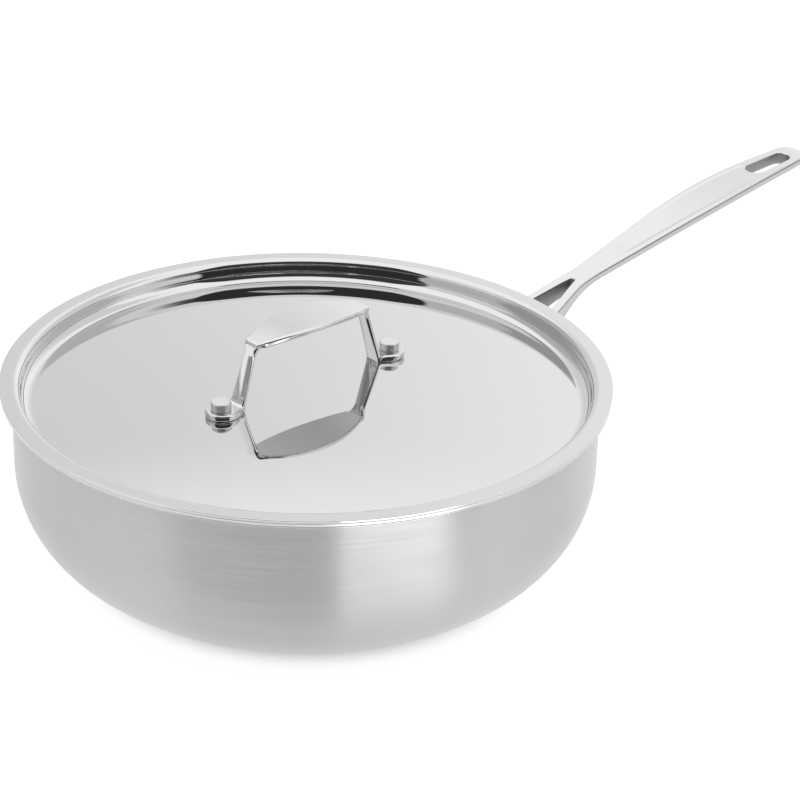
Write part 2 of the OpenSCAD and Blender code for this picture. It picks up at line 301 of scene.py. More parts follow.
# Rivets keep the even satin of tumbling
TUMBLED_RIVET = SteelFinish("stainless rivet, tumbled", "#dadada", "#e2e2e2", (0.46, 0.54),
                            Grain.NONE, 0.0006, 0.0009, 0.000006)
# The cut edge of the rolled aluminium core, a duller and bluer grey than the steel
CUT_ALUMINIUM = SteelFinish("rolled aluminium, cut edge", "#c4c6c9", "#d0d2d5", (0.22, 0.32),
                            Grain.ROUND_AXIS, 0.0008, 0.02, 0.000002)


def arc(centre: Point2, radius: float, start: float, end: float, chord: float = 2.5) -> list[Point2]:
    """Points along an arc, both ends included.

    Args:
        centre: The arc's centre.
        radius: Its radius; an arc of none is its centre alone.
        start: Angle of the first point, in degrees from the first axis.
        end: Angle of the last point.
        chord: Longest step along the arc.

    Returns:
        The arc's points.
    """
    if radius <= 0:
        return [centre]
    turn = math.radians(end - start)
    steps = max(FEWEST_CHORDS, math.ceil(abs(turn) * radius / chord))
    angles = [math.radians(start) + turn * i / steps for i in range(steps + 1)]
    return [(centre[0] + radius * math.cos(a), centre[1] + radius * math.sin(a)) for a in angles]


def between(p: Point2, q: Point2, longest: float, close: float) -> list[Point2]:
    """Points strictly between p and q: one close to each end, and the rest evenly spaced.

    Args:
        p: Start of the stretch.
        q: End of the stretch.
        longest: Longest step in the middle.
        close: Distance of the first and last points from the ends, which keeps shading tight at a corner.

    Returns:
        The points between the ends.
    """
    length = math.dist(p, q)
    if length < 3 * close:
        return []
    count = max(1, math.ceil((length - 2 * close) / longest))
    places = [close + (length - 2 * close) * i / count for i in range(count + 1)]
    return [(p[0] + (q[0] - p[0]) * s / length, p[1] + (q[1] - p[1]) * s / length) for s in places]


def joined(runs: Sequence[list[Point2]], closed: bool, longest: float = 8.0,
           close: float = 0.3) -> list[Point2]:
    """Joins runs of points by straight stretches.

    Args:
        runs: The runs in order.
        closed: Whether the last run joins up with the first.
        longest: Longest step on a straight stretch.
        close: Distance of a stretch's end points from the runs.

    Returns:
        All the points in order.
    """
    points: list[Point2] = []
    for i, run in enumerate(runs):
        points.extend(run)
        if closed or i < len(runs) - 1:
            points.extend(between(run[-1], runs[(i + 1) % len(runs)][0], longest, close))
    return points


@dataclass(frozen=True)
class Corner:
    """One corner of an outline, rounded by an arc where its radius isn't 0. Millimetres."""

    x: float
    y: float
    radius: float = 0.0

    def stepped(self, before: "Corner", after: "Corner", steps: int) -> list[Point2]:
        """Rounds the corner.

        Args:
            before: The corner before it.
            after: The corner after it.
            steps: Number of chords in the arc.

        Returns:
            The arc's points, all in one place where the corner is sharp.
        """
        here = Vector((self.x, self.y))
        u = (Vector((before.x, before.y)) - here).normalized()
        v = (Vector((after.x, after.y)) - here).normalized()
        half = math.acos(max(-1.0, min(1.0, u.dot(v)))) / 2
        if self.radius <= 0 or half > STRAIGHT:
            return [(self.x, self.y)] * (steps + 1)
        centre = here + (u + v).normalized() * self.radius / math.sin(half)
        first = here + u * self.radius / math.tan(half) - centre
        last = here + v * self.radius / math.tan(half) - centre
        start, turn = math.atan2(first.y, first.x), -first.angle_signed(last)
        angles = [start + turn * i / steps for i in range(steps + 1)]
        return [(centre.x + self.radius * math.cos(a), centre.y + self.radius * math.sin(a))
                for a in angles]

    def rounded(self, before: "Corner", after: "Corner", chord: float) -> list[Point2]:
        """Rounds the corner in steps of at most a chord.

        Args:
            before: The corner before it.
            after: The corner after it.
            chord: Longest step along the arc.

        Returns:
            The arc's points, or the corner alone where it is sharp.
        """
        first, middle, last = self.stepped(before, after, 2)
        if math.dist(first, last) < SAME_POINT:
            return [first]
        steps = max(FEWEST_CHORDS, math.ceil((math.dist(first, middle) + math.dist(middle, last)) / chord))
        return self.stepped(before, after, steps)


def bends(corners: Sequence[Corner], chord: float) -> list[list[Point2]]:
    """Rounds a line's corners, and leaves its two ends as they are.

    Args:
        corners: The line's corners in order.
        chord: Longest step along an arc.

    Returns:
        One run of points for each corner.
    """
    inner = [b.rounded(a, c, chord) for a, b, c in zip(corners, corners[1:], corners[2:])]
    return [[(corners[0].x, corners[0].y)]] + inner + [[(corners[-1].x, corners[-1].y)]]


def stepped_line(corners: Sequence[Corner], steps: Sequence[tuple[int, int]]) -> list[Point2]:
    """Runs from a line's first arc to its end, with a set number of steps.

    Args:
        corners: The line's corners in order.
        steps: For each corner but the ends, the steps on its arc and on the straight after it.

    Returns:
        The line's points.
    """
    runs = [corners[i].stepped(corners[i - 1], corners[i + 1], bend)
            for i, (bend, _) in enumerate(steps, start=1)]
    runs.append([(corners[-1].x, corners[-1].y)])
    points: list[Point2] = []
    for run, following, (_, straight) in zip(runs, runs[1:], steps):
        points.extend(run)
        start, end = Vector(run[-1]), Vector(following[0])
        points.extend(tuple(start.lerp(end, k / straight)) for k in range(1, straight))
    return points + runs[-1]


def outline(corners: Sequence[Corner], chord: float, longest: float) -> list[Point2]:
    """Runs round a closed outline with rounded corners.

    Args:
        corners: The corners in order.
        chord: Longest step along an arc.
        longest: Longest step on a straight stretch.

    Returns:
        The outline's points.
    """
    count = len(corners)
    runs = [corners[i].rounded(corners[i - 1], corners[(i + 1) % count], chord) for i in range(count)]
    return joined(runs, closed=True, longest=longest)


@dataclass(frozen=True)
class BentLine:
    """A line seen from its side, which runs forward through rounded corners and gives its height anywhere."""

    corners: tuple[Corner, ...]

    def height(self, x: float) -> float:
        """Height of the line.

        Args:
            x: Place along the line.

        Returns:
            The height there.
        """
        points = self.corners
        last = len(points) - 2
        i = next((k for k in range(last) if x < points[k + 1].x), last)
        straight = self._along(i, x)
        for k in (i, i + 1):
            if 0 < k < len(points) - 1 and points[k].radius > 0:
                rise_in, rise_out = self._slope(k - 1), self._slope(k)
                half = (rise_out - rise_in) / 2
                reach = points[k].radius * math.tan(abs(half))
                start = points[k].x - reach * math.cos(rise_in)
                end = points[k].x + reach * math.cos(rise_out)
                if start < x < end:
                    side = 1 if rise_out > rise_in else -1
                    foot_z = points[k].y - reach * math.sin(rise_in)
                    centre_x = start - side * points[k].radius * math.sin(rise_in)
                    centre_z = foot_z + side * points[k].radius * math.cos(rise_in)
                    return centre_z - side * math.sqrt(points[k].radius ** 2 - (x - centre_x) ** 2)
        return straight

    def _slope(self, i: int) -> float:
        """Angle of the stretch that starts at corner i."""
        a, b = self.corners[i], self.corners[i + 1]
        return math.atan2(b.y - a.y, b.x - a.x)

    def _along(self, i: int, x: float) -> float:
        """Height of the straight stretch that starts at corner i."""
        a, b = self.corners[i], self.corners[i + 1]
        return a.y + (b.y - a.y) * (x - a.x) / (b.x - a.x)


def lathe_tree() -> Tree:
    """Builds the Geometry Nodes tree that turns a half section about the Z axis.

    Returns:
        A tree with inputs for the section, the number of sides, the section's offset and the finish.
    """
    tree = bpy.data.node_groups.new("turn a section about the axis", "GeometryNodeTree")
    face = tree.interface
    face.new_socket("Section", in_out="INPUT", socket_type="NodeSocketGeometry")
    face.new_socket("Sides", in_out="INPUT", socket_type="NodeSocketInt")
    face.new_socket("Offset", in_out="INPUT", socket_type="NodeSocketFloat")
    face.new_socket("Finish", in_out="INPUT", socket_type="NodeSocketMaterial")
    face.new_socket("Turned", in_out="OUTPUT", socket_type="NodeSocketGeometry")
    given = add_node(tree, "NodeGroupInput")
    section = add_node(tree, "GeometryNodeMeshToCurve", {"Mesh": given.outputs["Section"]})
    path = add_node(tree, "GeometryNodeCurvePrimitiveCircle",
                    {"Resolution": given.outputs["Sides"], "Radius": given.outputs["Offset"]})
    swept = add_node(tree, "GeometryNodeCurveToMesh",
                     {"Curve": path.outputs["Curve"], "Profile Curve": section.outputs["Curve"]})
    merged = add_node(tree, "GeometryNodeMergeByDistance",
                      {"Geometry": swept.outputs["Mesh"], "Distance": 2 * SAME_POINT})
    smooth = add_node(tree, "GeometryNodeSetShadeSmooth", {"Geometry": merged.outputs[0]})
    real = add_node(tree, "GeometryNodeRealizeInstances", {"Geometry": smooth.outputs[0]})
    dressed = add_node(tree, "GeometryNodeSetMaterial",
                       {"Geometry": real.outputs[0], "Material": given.outputs["Finish"]})
    add_node(tree, "NodeGroupOutput", {0: dressed.outputs[0]})
    return tree


def rivet_tree() -> Tree:
    """Builds the Geometry Nodes tree that sets rivets in a row about the Z axis.

    Returns:
        A tree with inputs for the rivet, their number, reach from the axis, height, angles and the finish.
    """
    tree = bpy.data.node_groups.new("rivets about the axis", "GeometryNodeTree")
    face = tree.interface
    face.new_socket("Rivet", in_out="INPUT", socket_type="NodeSocketGeometry")
    face.new_socket("Count", in_out="INPUT", socket_type="NodeSocketInt")
    for name in ("Reach", "Height", "Start", "Step", "Lean"):
        face.new_socket(name, in_out="INPUT", socket_type="NodeSocketFloat")
    face.new_socket("Finish", in_out="INPUT", socket_type="NodeSocketMaterial")
    face.new_socket("Row", in_out="OUTPUT", socket_type="NodeSocketGeometry")
    given = add_node(tree, "NodeGroupInput")
    row = add_node(tree, "GeometryNodeMeshLine", {"Count": given.outputs["Count"]})
    index = add_node(tree, "GeometryNodeInputIndex")
    angle = worked_out(tree, "MULTIPLY_ADD", index.outputs[0], given.outputs["Step"], given.outputs["Start"])
    x = worked_out(tree, "MULTIPLY", worked_out(tree, "COSINE", angle), given.outputs["Reach"])
    y = worked_out(tree, "MULTIPLY", worked_out(tree, "SINE", angle), given.outputs["Reach"])
    place = add_node(tree, "ShaderNodeCombineXYZ", {0: x, 1: y, 2: given.outputs["Height"]})
    turn = add_node(tree, "ShaderNodeCombineXYZ", {0: 0.0, 1: given.outputs["Lean"], 2: angle})
    placed = add_node(tree, "GeometryNodeSetPosition",
                      {"Geometry": row.outputs["Mesh"], "Position": place.outputs[0]})
    rivets = add_node(tree, "GeometryNodeInstanceOnPoints",
                      {"Points": placed.outputs[0], "Instance": given.outputs["Rivet"],
                       "Rotation": turn.outputs[0]})
    real = add_node(tree, "GeometryNodeRealizeInstances", {"Geometry": rivets.outputs[0]})
    dressed = add_node(tree, "GeometryNodeSetMaterial",
                       {"Geometry": real.outputs[0], "Material": given.outputs["Finish"]})
    add_node(tree, "NodeGroupOutput", {0: dressed.outputs[0]})
    return tree


def run_tree(name: str, start: Mesh, tree: Tree, inputs: dict[str, object]) -> Piece:
    """Evaluates a Geometry Nodes tree on a mesh and keeps the result as a plain mesh.

    Args:
        name: Name of the new piece.
        start: The mesh that the tree works on.
        tree: The tree.
        inputs: The tree's input values by name.

    Returns:
        A plain object at the origin, with no modifier.
    """
    piece = bpy.data.objects.new(name, start)
    bpy.context.scene.collection.objects.link(piece)
    modifier = piece.modifiers.new("make", "NODES")
    modifier.node_group = tree
    for item in tree.interface.items_tree:
        if item.item_type == "SOCKET" and item.in_out == "INPUT" and item.name in inputs:
            modifier[item.identifier] = inputs[item.name]
    graph = bpy.context.evaluated_depsgraph_get()
    result = bpy.data.meshes.new_from_object(piece.evaluated_get(graph))
    piece.modifiers.remove(modifier)
    piece.data = result
    result.name = name
    return piece


def face_outwards(mesh: Mesh) -> None:
    """Recalculates a closed mesh's normals to point outwards.

    Args:
        mesh: The mesh to change.
    """
    work = bmesh.new()
    work.from_mesh(mesh)
    bmesh.ops.remove_doubles(work, verts=work.verts, dist=SAME_POINT)
    bmesh.ops.recalc_face_normals(work, faces=work.faces)
    work.to_mesh(mesh)
    work.free()


def weigh_normals(mesh: Mesh) -> None:
    """Shades a mesh smoothly. Large faces count for more, so that flats beside rounded edges stay flat.

    Args:
        mesh: The mesh to change.
    """
    mesh.shade_smooth()
    normals = [Vector() for _ in mesh.vertices]
    for face in mesh.polygons:
        for i in face.vertices:
            normals[i] += face.normal * face.area
    mesh.normals_split_custom_set_from_vertices([n.normalized() for n in normals])


def turned(name: str, section: Sequence[Point2], finish: Material, tree: Tree, sides: int = 256) -> Piece:
    """Turns a half section about the Z axis. It starts and ends on the axis, so the result is closed.

    Args:
        name: Name of the piece.
        section: Points as [radius, height], in millimetres.
        finish: Its material.
        tree: The tree from lathe_tree.
        sides: Number of sides round the axis.

    Returns:
        The piece.
    """
    # The section rides a circle of this radius, in metres, and is drawn as far inside it
    offset = 0.1
    start = bpy.data.meshes.new(name + " section")
    start.from_pydata([(r * MM - offset, -z * MM, 0.0) for r, z in section],
                      [(i, i + 1) for i in range(len(section) - 1)], [])
    piece = run_tree(name, start, tree, {"Sides": sides, "Offset": offset, "Finish": finish})
    face_outwards(piece.data)
    weigh_normals(piece.data)
    return piece


def inset(loop: Sequence[Point2], distance: float) -> list[Point2]:
    """Moves a closed loop to its left by a small distance.

    Args:
        loop: The loop's points.
        distance: How far each side moves.

    Returns:
        The moved points, one for each given one.
    """
    moved = []
    for i, here in enumerate(loop):
        point = Vector(here)
        before = (point - Vector(loop[i - 1])).normalized()
        after = (Vector(loop[(i + 1) % len(loop)]) - point).normalized()
        left = Vector((-before.y - after.y, before.x + after.x)).normalized()
        # At a corner the point moves further than the sides, but at most twice as far
        stretch = max(0.5, left.dot(Vector((-before.y, before.x))))
        moved.append(tuple(point + left * distance / stretch))
    return moved


def inside(point: Point2, loop: Sequence[Point2]) -> bool:
    """Whether a point lies inside a closed loop.

    Args:
        point: The point.
        loop: The loop's points.

    Returns:
        True where it is inside.
    """
    x, y = point
    odd = False
    for i, (ax, ay) in enumerate(loop):
        bx, by = loop[i - 1]
        if (ay > y) != (by > y) and x < (bx - ax) * (y - ay) / (by - ay) + ax:
            odd = not odd
    return odd


@dataclass
class Plate:
    """A plate cut to an outline, with rounded edges, whose faces and whose bends are given by functions.

    The loops run with the metal on their left: the outer one anticlockwise, any opening clockwise. Columns
    and rows are the places of a grid of points inside them. All sizes are in millimetres.
    """

    loops: list[list[Point2]]
    top: Surface
    bottom: Surface
    place: Callable[[float, float, float], Point3]
    top_edge: float
    bottom_edge: float
    columns: list[float]
    rows: list[float]
    edge_steps: int = 5
    hold: float = 0.5
    groove: Surface | None = None
    groove_drop: tuple[float, float] = (0.1, 0.65)
    _vertices: list[Point3] = field(default_factory=list, init=False)
    _faces: list[tuple[int, ...]] = field(default_factory=list, init=False)

    def build(self) -> Shell:
        """Builds the plate.

        Returns:
            Its closed shell.
        """
        upper = self._sheet(self.top, self.top_edge, 1)
        lower = self._sheet(self.bottom, self.bottom_edge, -1)
        for loop, high, low in zip(self.loops, upper, lower):
            rings = [low] + self._wall(loop) + [high]
            for a, b in zip(rings, rings[1:]):
                self._bridge(a, b)
        return self._vertices, self._faces

    def _wall(self, loop: list[Point2]) -> list[list[int]]:
        """Adds the rings of a side wall, with the groove under its upper edge if there is one.

        Args:
            loop: The wall's outline.

        Returns:
            The rings, from the bottom up.
        """
        # Rings near the wall's ends keep its shading flat; the groove brings its own at the upper end
        shares = (0.12, 0.5, 0.88) if self.groove is None else (0.12, 0.5)
        rings = [self._ring(loop, lambda u, v, s=share: self._side(u, v, s)) for share in shares]
        if self.groove is not None:
            inner = inset(loop, 1.0)
            sunk = [tuple(Vector(p).lerp(Vector(q), self.groove(*p))) for p, q in zip(loop, inner)]
            near, far = self.groove_drop
            for line, drop in ((loop, far), (sunk, far), (sunk, near), (loop, near)):
                rings.append(self._ring(line, lambda u, v, d=drop: self.top(u, v) - self.top_edge - d))
        return rings

    def _side(self, u: float, v: float, share: float) -> float:
        """Height on the plate's side wall, at a share of the way from its lower edge to its upper one."""
        low = self.bottom(u, v) + self.bottom_edge
        return low + share * (self.top(u, v) - self.top_edge - low)

    def _ring(self, loop: Sequence[Point2], height: Surface) -> list[int]:
        """Adds a ring of points.

        Args:
            loop: The ring's outline.
            height: Its height at each place.

        Returns:
            The points' numbers.
        """
        first = len(self._vertices)
        self._vertices.extend(self.place(u, v, height(u, v)) for u, v in loop)
        return list(range(first, len(self._vertices)))

    def _bridge(self, a: Sequence[int], b: Sequence[int]) -> None:
        """Adds the faces between two rings.

        Args:
            a: The first ring's numbers.
            b: The second ring's, one for each of the first's.
        """
        for i in range(len(a)):
            self._faces.append((a[i - 1], a[i], b[i], b[i - 1]))

    def _sheet(self, surface: Surface, edge: float, way: int) -> list[list[int]]:
        """Adds one face of the plate with its rounded edges.

        Args:
            surface: Height of the face.
            edge: Radius of its edges.
            way: 1 for the upper face, -1 for the lower one.

        Returns:
            The outermost ring of each loop.
        """
        outer_rings = []
        inner_loops = []
        inner_ids: list[int] = []
        for loop in self.loops:
            rings = []
            for k in range(self.edge_steps + 1):
                angle = math.pi / 2 * k / self.edge_steps
                drop = way * edge * (1 - math.sin(angle))
                moved = inset(loop, edge * (1 - math.cos(angle)))
                rings.append(self._ring(moved, lambda u, v, d=drop: surface(u, v) - d))
            held = inset(loop, edge + self.hold)
            rings.append(self._ring(held, surface))
            for a, b in zip(rings, rings[1:]):
                self._bridge(a, b)
            outer_rings.append(rings[0])
            inner_loops.append(held)
            inner_ids.extend(rings[-1])
        self._fill(inner_loops, inner_ids, surface)
        return outer_rings

    def _fill(self, loops: list[list[Point2]], ids: list[int], surface: Surface) -> None:
        """Fills the middle of a face with triangles over a grid of points.

        Args:
            loops: The innermost ring of each loop.
            ids: Those rings' point numbers.
            surface: Height of the face.
        """
        flat = [Vector(p) for loop in loops for p in loop]
        edges = []
        first = 0
        for loop in loops:
            edges.extend((first + i, first + (i + 1) % len(loop)) for i in range(len(loop)))
            first += len(loop)
        shrunk = [inset(loop, self.hold) for loop in loops]
        grid = [(u, v) for u in self.columns for v in self.rows
                if inside((u, v), shrunk[0]) and not any(inside((u, v), hole) for hole in shrunk[1:])]
        first_new = len(self._vertices)
        self._vertices.extend(self.place(u, v, surface(u, v)) for u, v in grid)
        ids = ids + list(range(first_new, len(self._vertices)))
        inside_only = 1
        closeness = 1e-5
        found, _, faces, origins, _, _ = delaunay_2d_cdt(flat + [Vector(p) for p in grid], edges, [],
                                                         inside_only, closeness)
        for face in faces:
            middle = sum((found[i] for i in face), Vector((0.0, 0.0))) / len(face)
            if inside(middle, loops[0]) and not any(inside(middle, hole) for hole in loops[1:]):
                self._faces.append(tuple(ids[origins[i][0]] for i in face))


def solid(name: str, shells: Sequence[Shell], finish: Material) -> Piece:
    """Makes one piece of one or more closed shells.

    Args:
        name: Name of the piece.
        shells: Each shell's points, in millimetres, and faces.
        finish: Its material.

    Returns:
        The piece, with its faces outwards and smooth shading.
    """
    vertices: list[Point3] = []
    faces: list[tuple[int, ...]] = []
    for points, sides in shells:
        first = len(vertices)
        vertices.extend(tuple(c * MM for c in p) for p in points)
        faces.extend(tuple(first + i for i in side) for side in sides)
    mesh = bpy.data.meshes.new(name)
    mesh.from_pydata(vertices, [], faces)
    face_outwards(mesh)
    weigh_normals(mesh)
    mesh.materials.append(finish)
    piece = bpy.data.objects.new(name, mesh)
    bpy.context.scene.collection.objects.link(piece)
    return piece


def refinish(piece: Piece, finish: Material, chosen: Callable[[Vector, Vector], bool]) -> None:
    """Gives some of a piece's faces another finish.

    Args:
        piece: The piece.
        finish: The other finish.
        chosen: Tells from a face's middle, in millimetres, and its normal whether it gets that finish.
    """
    mesh = piece.data
    mesh.materials.append(finish)
    for face in mesh.polygons:
        if chosen(face.center / MM, face.normal):
            face.material_index = len(mesh.materials) - 1


def settle(piece: Piece, body: Body, slot: str, *nodes: str) -> None:
    """Ties a piece to its body, hides the solids that it stands for, and reports it.

    Args:
        piece: The piece.
        body: The body that it moves with.
        slot: The record's material slot; not used.
        nodes: The solids that it replaces.
    """
    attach(piece, body.value)
    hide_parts(*nodes)
    log.info("%s: %d faces, stands for %s", piece.name, len(piece.data.polygons), ", ".join(nodes))


def evenly(low: float, high: float, step: float) -> list[float]:
    """Evenly spaced values from low to high.

    Args:
        low: First value.
        high: Last value.
        step: Longest step.

    Returns:
        The values.
    """
    count = math.ceil((high - low) / step)
    return [low + (high - low) * i / count for i in range(count + 1)]


def ramp(value: float, low: float, high: float) -> float:
    """Rises smoothly from 0 at low to 1 at high.

    Args:
        value: The value.
        low: Where the rise starts.
        high: Where it ends.

    Returns:
        A share from 0 to 1.
    """
    share = max(0.0, min(1.0, (value - low) / (high - low)))
    return share * share * (3 - 2 * share)


def cap(radius: float, rise: float, base: float) -> list[Point2]:
    """Half section of a low round cap, from its edge to the axis.

    Args:
        radius: Radius of the cap's edge.
        rise: Height of its crown over the edge; below 0 it hangs down.
        base: Height of the edge.

    Returns:
        Points as [radius, height].
    """
    ball = (radius ** 2 + rise ** 2) / (2 * abs(rise))
    span = math.degrees(math.asin(radius / ball))
    way = 1 if rise > 0 else -1
    points = arc((0.0, 0.0), ball, 90 - span, 90, chord=0.6)
    return [(r, base + rise + way * (z - ball)) for r, z in points]


@dataclass
class PanBody:
    """The pan's clad sheet: an outer skin, a core and a lining, drawn to one deep shell. Millimetres."""

    bore_r: float = 139.8
    height: float = 94.1
    corner_r: float = 55.0
    skin_t: float = 0.5
    core_t: float = 1.5
    lining_t: float = 0.5
    lip_w: float = 5.3
    lip_bend_r: float = 0.5
    lip_edge_r: float = 0.2
    lip_polish: float = 3.4

    @property
    def sheet_t(self) -> float:
        """Thickness of the three layers."""
        return self.skin_t + self.core_t + self.lining_t

    @property
    def wall_r(self) -> float:
        """Radius of the wall's outer face."""
        return self.bore_r + self.sheet_t

    @property
    def lip_r(self) -> float:
        """Radius of the lip's edge."""
        return self.wall_r + self.lip_w

    def face(self, depth: float) -> list[list[Point2]]:
        """Half section of the face at a depth in the sheet, from the axis to the lip's edge.

        Args:
            depth: Distance from the outer face.

        Returns:
            Runs of points.
        """
        bend_z = self.height - self.sheet_t - self.lip_bend_r
        return [[(0.0, depth)],
                arc((self.wall_r - self.corner_r, self.corner_r), self.corner_r - depth, -90, 0),
                arc((self.wall_r + self.lip_bend_r, bend_z), self.lip_bend_r + depth, 180, 90, chord=0.4)]

    def layer(self, low: float, high: float) -> list[Point2]:
        """Closed half section of one layer.

        Args:
            low: Depth of its outer face.
            high: Depth of its inner face.

        Returns:
            Points from the axis, out along the outer face and back along the inner one.
        """
        under = self.height - self.sheet_t + low
        top = self.height - self.sheet_t + high
        round_low = self.lip_edge_r if low == 0 else 0.0
        round_high = self.lip_edge_r if high == self.sheet_t else 0.0
        edge = [arc((self.lip_r - round_low, under + round_low), round_low, -90, 0, chord=0.1),
                arc((self.lip_r - round_high, top - round_high), round_high, 0, 90, chord=0.1)]
        back = [run[::-1] for run in reversed(self.face(high))]
        return joined(self.face(low) + edge + back, closed=False)

    def build(self, lathe: Tree) -> None:
        """Builds and dresses the three layers.

        Args:
            lathe: The tree that turns a section.
        """
        depths = (0.0, self.skin_t, self.skin_t + self.core_t, self.sheet_t)
        layers = (("pan_outer_skin", "outer_skin", "brushed_skin", GROUND_SHEET),
                  ("pan_aluminium_core", "aluminium_core", "core", CUT_ALUMINIUM),
                  ("pan_inner_lining", "inner_lining", "lining", GROUND_LINING))
        lip_finish = POLISHED_LIP.make()

        def on_lip(middle: Vector, normal: Vector) -> bool:
            """Whether a face lies on the wheel-polished part of the lip."""
            return middle.xy.length > self.wall_r + self.lip_polish

        for (name, node, slot, finish), low, high in zip(layers, depths, depths[1:]):
            piece = turned(name, self.layer(low, high), finish.make(), lathe)
            if finish is not CUT_ALUMINIUM:
                refinish(piece, lip_finish, on_lip)
            settle(piece, Body.PAN, slot, node)


@dataclass
class Lid:
    """The lid: one sheet turned down into a recess in the rim, with a low dome for its plate. Millimetres."""

    top: float = 95.1
    sheet_t: float = 1.0
    flange_r: float = 148.0
    recess_r: float = 138.0
    shoulder_r: float = 3.5
    valley_r: float = 5.0
    recess_depth: float = 10.8
    dome_rise: float = 5.7
    edge_r: float = 0.35

    @property
    def valley_x(self) -> float:
        """Radius at which the valley's arc has its centre."""
        return self.recess_r - self.valley_r

    @property
    def dome_r(self) -> float:
        """Radius of the domed plate's sphere."""
        return (self.valley_x ** 2 + self.dome_rise ** 2) / (2 * self.dome_rise)

    @property
    def dome_z(self) -> float:
        """Height of the sphere's centre."""
        return self.top - self.recess_depth + self.dome_rise - self.dome_r

    def dome_at(self, radius: float, depth: float = 0.0) -> float:
        """Height of the domed plate.

        Args:
            radius: Distance from the axis.
            depth: Depth in the sheet.

        Returns:
            The height.
        """
        return self.dome_z + math.sqrt((self.dome_r - depth) ** 2 - radius ** 2)

    def face(self, depth: float) -> list[list[Point2]]:
        """Half section of the face at a depth in the sheet, from the axis to the flange's edge.

        Args:
            depth: Distance from the upper face.

        Returns:
            Runs of points.
        """
        span = self.dome_r + self.valley_r
        valley_z = self.dome_z + math.sqrt(span ** 2 - self.valley_x ** 2)
        start = math.degrees(math.atan2(self.dome_z - valley_z, -self.valley_x))
        reach = self.valley_x * (self.dome_r - depth) / span
        dome = [(r, self.dome_at(r, depth)) for r in evenly(0.0, reach, step=4.0)]
        shoulder = (self.recess_r + self.shoulder_r, self.top - self.shoulder_r)
        return [dome[:-1],
                arc((self.valley_x, valley_z), self.valley_r + depth, start, 0, chord=0.8),
                arc(shoulder, self.shoulder_r - depth, 180, 90, chord=0.6)]

    def section(self) -> list[Point2]:
        """Closed half section of the lid.

        Returns:
            Points from the axis, out along the underside and back along the top.
        """
        under = self.top - self.sheet_t
        edge = [arc((self.flange_r - self.edge_r, under + self.edge_r), self.edge_r, -90, 0, chord=0.1),
                arc((self.flange_r - self.edge_r, self.top - self.edge_r), self.edge_r, 0, 90, chord=0.1)]
        back = [run[::-1] for run in reversed(self.face(0.0))]
        return joined(self.face(self.sheet_t) + edge + back, closed=False)

    def build(self, lathe: Tree) -> None:
        """Builds and dresses the lid's sheet.

        Args:
            lathe: The tree that turns a section.
        """
        piece = turned("lid_sheet", self.section(), BUFFED_SHEET.make(), lathe)
        settle(piece, Body.LID, "polished_lid", "lid")


